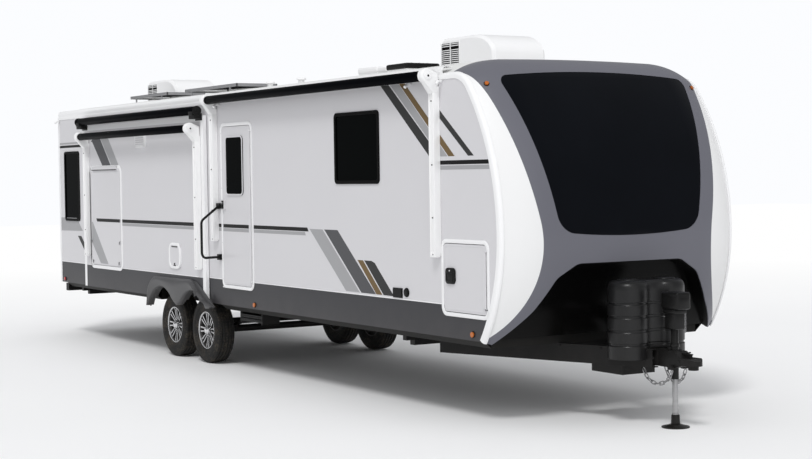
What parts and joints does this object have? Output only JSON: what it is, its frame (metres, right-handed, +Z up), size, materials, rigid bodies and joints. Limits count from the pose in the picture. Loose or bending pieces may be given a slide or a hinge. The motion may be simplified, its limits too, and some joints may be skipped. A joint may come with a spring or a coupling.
{
  "type": "travel trailer",
  "caption": "White and grey tandem-axle travel trailer with a curved nose, side slide-out room, awnings, A-frame drawbar, ball coupler and tongue jack.",
  "frame": {"origin": "centre of the ball socket in the coupler, 0.5 m above the ground", "axes": "+X forward, +Y to the trailer's left, +Z up"},
  "size_m": [11.19, 2.7295, 3.29],
  "materials": {
    "wall_white": "gloss gelcoat laminate, grey below the waist",
    "nose_grey": "gloss gelcoat",
    "nose_white": "gloss gelcoat",
    "nose_dark": "gloss, opaque black",
    "recess_black": "gloss black moulding",
    "trim_white": "satin",
    "roof_white": "matt roofing membrane",
    "window_glass": "dark tinted",
    "window_frame": "black",
    "door_white": "gloss white",
    "black_paint": "satin black",
    "black_plastic": "moulded black",
    "fender_grey": "moulded dark grey",
    "awning_white": "white powder coat",
    "awning_fabric": "black vinyl",
    "solar": "dark cells",
    "floor_board": "board",
    "galvanised": "zinc plated",
    "tyre_rubber": "matt",
    "rim_alloy": "machined and dark painted",
    "lamp_amber": "amber lens",
    "lamp_red": "red lens"
  },
  "bodies": {
    "trailer": {"curb_wall": "wall_white", "road_wall": "wall_white", "rear_wall": "wall_white", "roof": "roof_white", "nose_cap": "nose_grey", "nose_flanks": "nose_white", "nose_glass": "nose_dark", "nose_recess": "recess_black", "edge_trims": "trim_white", "window_frames": "window_frame", "window_panes": "window_glass", "floor_deck": "floor_board", "underbelly": "black_plastic", "storage_bay": "floor_board", "entry_frame": "trim_white", "entry_handle": "black_plastic", "road_fender": "fender_grey", "main_awning_arms": "awning_white", "main_awning_roller": "awning_fabric", "ac_units": "trim_white", "roof_vents": "trim_white", "solar_panels": "solar", "chassis_rails": "black_paint", "drawbar": "black_paint", "coupler": "black_paint", "tow_chains": "galvanised", "jack_housing": "black_plastic", "jack_foot": "galvanised", "gas_cover": "black_plastic", "axle_beams": "black_paint", "leaf_springs": "black_paint", "entry_step": "black_paint", "stabilizers": "black_paint", "bumper": "black_paint", "marker_lamps": "lamp_amber", "tail_lamps": "lamp_red", "utility_ports": "black_plastic"},
    "slide_out": {"slide_room": "wall_white", "slide_flange": "trim_white", "slide_skirt": "wall_white", "curb_fender": "fender_grey", "kitchen_bay": "trim_white", "slide_hatches": "trim_white", "slide_awning_arms": "awning_white", "slide_awning_roller": "awning_fabric", "topper_roller": "awning_fabric"},
    "entry_leaf": {"entry_door": "door_white", "entry_window": "window_glass"},
    "kitchen_leaf": {"kitchen_door": "door_white"},
    "curb_baggage_leaf": {"curb_baggage_door": "wall_white"},
    "road_baggage_leaf": {"road_baggage_door": "wall_white"},
    "wheel_curb_rear": {"tyre_curb_rear": "tyre_rubber", "rim_curb_rear": "rim_alloy"},
    "wheel_curb_front": {"tyre_curb_front": "tyre_rubber", "rim_curb_front": "rim_alloy"},
    "wheel_road_rear": {"tyre_road_rear": "tyre_rubber", "rim_road_rear": "rim_alloy"},
    "wheel_road_front": {"tyre_road_front": "tyre_rubber", "rim_road_front": "rim_alloy"}
  },
  "joints": [
    {"name": "wheel_curb_rear_spin", "type": "hinge", "parent": "trailer", "child": "wheel_curb_rear", "pos_m": [-7.488, -1.045, -0.141], "axis": [0, 1, 0], "continuous": true},
    {"name": "wheel_curb_front_spin", "type": "hinge", "parent": "trailer", "child": "wheel_curb_front", "pos_m": [-6.632, -1.045, -0.141], "axis": [0, 1, 0], "continuous": true},
    {"name": "wheel_road_rear_spin", "type": "hinge", "parent": "trailer", "child": "wheel_road_rear", "pos_m": [-7.488, 1.045, -0.141], "axis": [0, 1, 0], "continuous": true},
    {"name": "wheel_road_front_spin", "type": "hinge", "parent": "trailer", "child": "wheel_road_front", "pos_m": [-6.632, 1.045, -0.141], "axis": [0, 1, 0], "continuous": true},
    {"name": "entry_door_swing", "type": "hinge", "parent": "trailer", "child": "entry_leaf", "pos_m": [-5.262, -1.238, 1.234], "axis": [0, 0, 1], "range_deg": [0, 170]},
    {"name": "slide_room_travel", "type": "slide", "parent": "trailer", "child": "slide_out", "axis": [0, -1, 0], "range_m": [0, 0.85]},
    {"name": "kitchen_door_lift", "type": "hinge", "parent": "slide_out", "child": "kitchen_leaf", "pos_m": [-9.242, -1.277, 1.686], "axis": [-1, 0, 0], "range_deg": [0, 90]},
    {"name": "curb_baggage_swing", "type": "hinge", "parent": "trailer", "child": "curb_baggage_leaf", "pos_m": [-1.057, -1.232, 0.681], "axis": [0, 0, 1], "range_deg": [0, 150]},
    {"name": "road_baggage_swing", "type": "hinge", "parent": "trailer", "child": "road_baggage_leaf", "pos_m": [-1.057, 1.232, 0.681], "axis": [0, 0, -1], "range_deg": [0, 150]}
  ]
}
